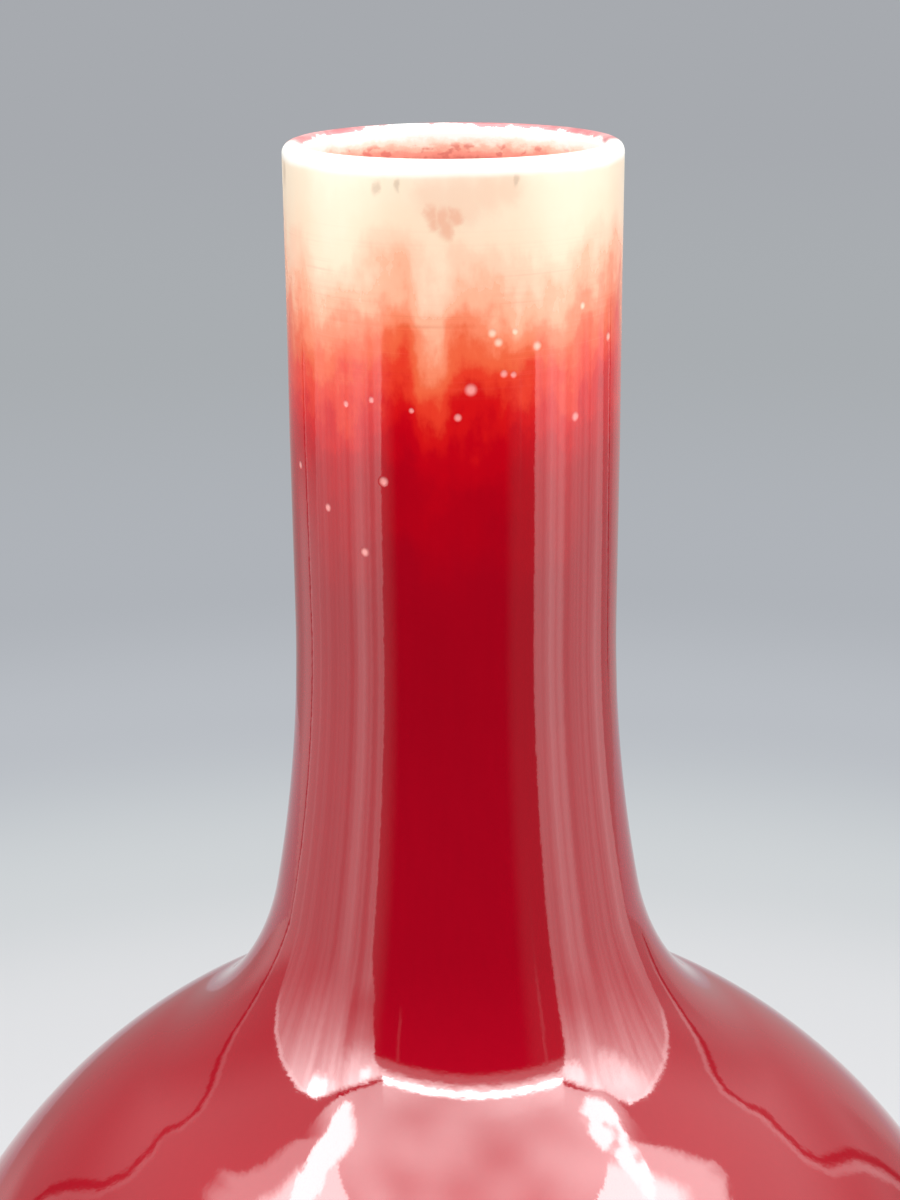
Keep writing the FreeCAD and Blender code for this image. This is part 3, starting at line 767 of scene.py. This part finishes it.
def folds(azimuth, e):
    """Soft upright unevenness of the cloth, from about -0.5 to 0.5."""
    broad = noise.noise(Vector((azimuth * 0.13, e * 0.03, 0.7)))
    fine = noise.noise(Vector((azimuth * 0.42, e * 0.02, 5.2)))
    return 0.6 * broad + 0.4 * fine


def arc_height(azimuth):
    return ARC_TOP - ARC_SAG * (azimuth - ARC_TURN) ** 2


def seam_height(azimuth):
    """Where the walls end and the roof starts."""
    aside = abs(azimuth - ARC_TURN)
    lower = 3 * ease(aside, 50, 70) if azimuth > 0 else 0
    return 25.8 + 0.125 * (aside - 44) + 0.02 * max(aside - 62, 0) ** 2 - lower


def roof_glow(azimuth, e):
    """The roof, softly clouded, brighter to the sides and dim in its low far corners."""
    aside = abs(azimuth - ARC_TURN)
    clouds = 1 + 0.45 * noise.noise(Vector((azimuth * 0.045, e * 0.07, 2.3)))
    glow = 3.7 - 0.7 * ease(e, 46, 62) + 1.1 * ease(aside, 5, 60)
    return glow * clouds * (1 - 0.75 * ease(aside, 66, 80) * ease(e, 58, 48))


def front_glow(azimuth, e):
    """The dark opening, its softly lit edge, the soft border under the bright arc, and the roof."""
    arc = arc_height(azimuth)
    if azimuth < 0:
        edge = 0.3 * ease(azimuth, -38, -52) + 0.25 * ease(abs(azimuth + 31), 1.0, 0.2) * ease(e, 3, 9)
    else:
        edge = 0.12 * ease(azimuth, 32, 42) + 0.3 * ease(abs(azimuth - 44.5), 1.2, 0.2) * ease(e, -14, 4)
    border = 1.2 * ease(e, arc - 7, arc - 5) + 6.5 * ease(e, arc - 4, arc - 1.2)
    bright = ARC_GLOW * ease(abs(e - arc), 1.6, 0.8)
    roof = roof_glow(azimuth, e) * (1 + 0.3 * ease(e, arc + 10, arc + 1)) * ease(e, arc + 0.5, arc + 1.5)
    return max(edge, border if e < arc else 0.0, bright, roof)


def wall_glow(azimuth, e):
    """The tall softboxes at the sides, brighter upwards, with a pale hem on their outline."""
    aside = abs(azimuth - ARC_TURN)
    top = min(seam_height(azimuth), 24.6 + 0.1 * (aside - 43.5))
    outline = between(WALL_OUTLINE, e)[0]
    glow = 1.15 + 7.5 * (max(e + 10, 0) / 36) ** 2.8
    glow *= 1 + 0.7 * folds(azimuth, e)
    low_lift = 0.30 if azimuth > 0 else 0.18
    glow *= 1 + (low_lift - 0.45 * ease(aside, 62, 84)) * ease(e, 4, -8)
    if azimuth < 0:
        glow *= 1 - 0.45 * ease(aside, 69, 65) * ease(e, 20, 12) * ease(e, -6, 4)
    for middle, height, wide, high, bright in WALL_PATCHES:
        away = math.hypot((azimuth - middle) / wide, (e - height) / high)
        glow += bright * ease(away + 1.4 * folds(azimuth, e), 1.3, 0.2)
    glow += 1.2 * ease(e, -6, 4) * ease(abs(aside - outline + 1.2), 1.2, 0.4)
    return glow * ease(e, top + 0.8, top - 1.2) * ease(aside, outline + 0.5, outline - 0.5)


def streak_glow(azimuth, e):
    """The hot streaks to both sides of the roof: hard outside, soft inside, broken on the right."""
    rows = LEFT_STREAK if azimuth < 0 else RIGHT_STREAK
    inner, outer = between(rows, e)
    wander = 3.5 * noise.noise(Vector((azimuth * 0.10, e * 0.16, 8.1)))
    turn, inner, outer = abs(azimuth), abs(inner) + wander, abs(outer) + 0.5 * wander
    share = ease(turn, inner - 4.5, inner + 2.5) * ease(turn, outer + 0.7, outer - 0.7)
    share *= ease(e, rows[0][0] - 1, rows[0][0] + 1) * ease(e, rows[-1][0] + 3, rows[-1][0] - 1)
    if azimuth > 0:
        share *= 0.5 + 0.5 * ease(noise.noise(Vector((azimuth * 0.17, e * 0.23, 3.4))), -0.5, -0.2)
    return STREAK_GLOW * share


def seam_distance(points, azimuth, e):
    """How far a direction lies from the line through points, and how far in front of it."""
    here = Vector((azimuth, e))
    best, ahead = 90.0, 0.0
    for first, second in zip(points, points[1:]):
        start, along = Vector(first), Vector(second) - Vector(first)
        share = min(max((here - start).dot(along) / along.length_squared, 0.0), 1.0)
        nearest = start + along * share
        if (here - nearest).length < best:
            best, ahead = (here - nearest).length, abs(nearest.x) - abs(azimuth)
    return best, ahead


def side_glow(azimuth, e):
    """The dim room behind the walls, with a pale panel high up and a dark seam on each side."""
    turn, left = abs(azimuth), azimuth < 0
    if left:
        dim = 0.34 + 0.36 * ease(turn, 145, 128) * ease(e, -8, -14) + 0.40 * ease(e, 5, 25)
        edge, end, pale = 36.5 + 4 * ease(turn, 76, 92) - 3 * ease(turn, 100, 108), 111, 1.5
    else:
        dim = 0.5 - 0.12 * ease(turn, 142, 138) * ease(e, -2, -9) + 0.55 * ease(e, 3, 23)
        edge, end, pale = 35.5 - 1.5 * ease(turn, 107, 113), 116, 2.6
    dim += (0.42 - dim) * ease(turn, 150, 172)
    wander = 2 * noise.noise(Vector((azimuth * 0.07, 1.5, 4.4)))
    panel = pale * (1 + ease(e, edge, edge + 3)) + 6 * ease(e, edge + 7.5, edge + 12)
    panel *= ease(e, edge + wander, edge + wander + 1.2) * ease(turn, end + 2, end - 8)
    if turn > 105 and e < 25:
        gap, ahead = seam_distance(LEFT_SEAM if left else RIGHT_SEAM, azimuth, e)
        dim *= 1 - 0.8 * ease(gap, 1.1, 0.4)
        if ahead > 0:
            dim += (0.3 if left else 0.6) * ease(abs(gap - 1.8), 1.0, 0.3) * ease(turn, 134, 128)
    return max(dim, panel, 3.4 * ease(e, 46, 60) * ease(turn, 88, 100))


def opening_edge(azimuth, e):
    """How far the dark opening reaches to that side of the arc's middle."""
    if azimuth < 0:
        return 57 - 4.5 * ease(e, -12, 3) - 3 * ease(e, 3, 17) - 6 * ease(e, 17, 26)
    return 49 - 3.5 * ease(e, 14, 26)


def tent_glow(azimuth, e):
    """How bright the tent is in that direction."""
    aside = abs(azimuth - ARC_TURN)
    front = front_glow(azimuth, e)
    above = ease(e - seam_height(azimuth), -0.4, 0.4)
    side = side_glow(azimuth, e) if aside > SIDE_START else 0.0
    roof = max(roof_glow(azimuth, e), streak_glow(azimuth, e)) * above
    outer = max(wall_glow(azimuth, e), side, roof)
    glow = front + (outer - front) * ease(aside - opening_edge(azimuth, e), -0.5, 0.5)
    return glow + (TOP_GLOW - glow) * ease(e, 62, 76)


def make_tent():
    """A dome that only mirror rays meet, so it neither shows nor lights the colours."""
    around, lowest, highest = 360 * TENT_STEPS, TENT_BOTTOM * TENT_STEPS, 90 * TENT_STEPS
    verts, glow = [], []
    rows = range(lowest, highest + 1)
    for row in rows:
        for column in range(-around // 2, around // 2):
            azimuth, elevation = column / TENT_STEPS, row / TENT_STEPS
            verts.append(Vector((0, 0, TENT_MIDDLE)) + way(azimuth, elevation) * TENT_RADIUS)
            glow.append(tent_glow(azimuth, elevation))
    faces = []
    for row in range(len(rows) - 1):
        for i in range(around):
            here, after = row * around, (row + 1) * around
            faces.append((here + i, here + (i + 1) % around, after + (i + 1) % around, after + i))
    tent = add_mesh("tent", verts, faces)
    tent.data.attributes.new("glow", "FLOAT", "POINT").data.foreach_set("value", glow)
    g = new_graph("tent_glow")
    light = g.node("ShaderNodeEmission")
    g.put(light.inputs["Strength"], g.node("ShaderNodeAttribute", attribute_name="glow").outputs["Fac"])
    tent.data.materials.append(g.show(light.outputs[0]))
    tent.visible_camera = False
    tent.visible_diffuse = False
    tent.visible_transmission = False
    tent.visible_shadow = False


def dress(piece, material):
    piece.data.materials.clear()
    piece.data.materials.append(material)


make_camera()
glaze = glaze_material("red_glaze_coat")
dress(make_glaze(), glaze)
dress(make_lining(), glaze)
porcelain, slip, pale = porcelain_material(), slip_material(), pale_glaze_material()
for node in ("lower_body_section", "upper_body_section", "neck_section", "foot_ring"):
    dress(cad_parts[node], porcelain)
for node in ("belly_slip_joint", "neck_slip_joint", "foot_slip_joint"):
    dress(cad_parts[node], slip)
dress(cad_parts["base_glaze"], pale)
make_floor()
make_world()
make_lamps()
make_tent()
bpy.context.scene.view_settings.view_transform = "Standard"
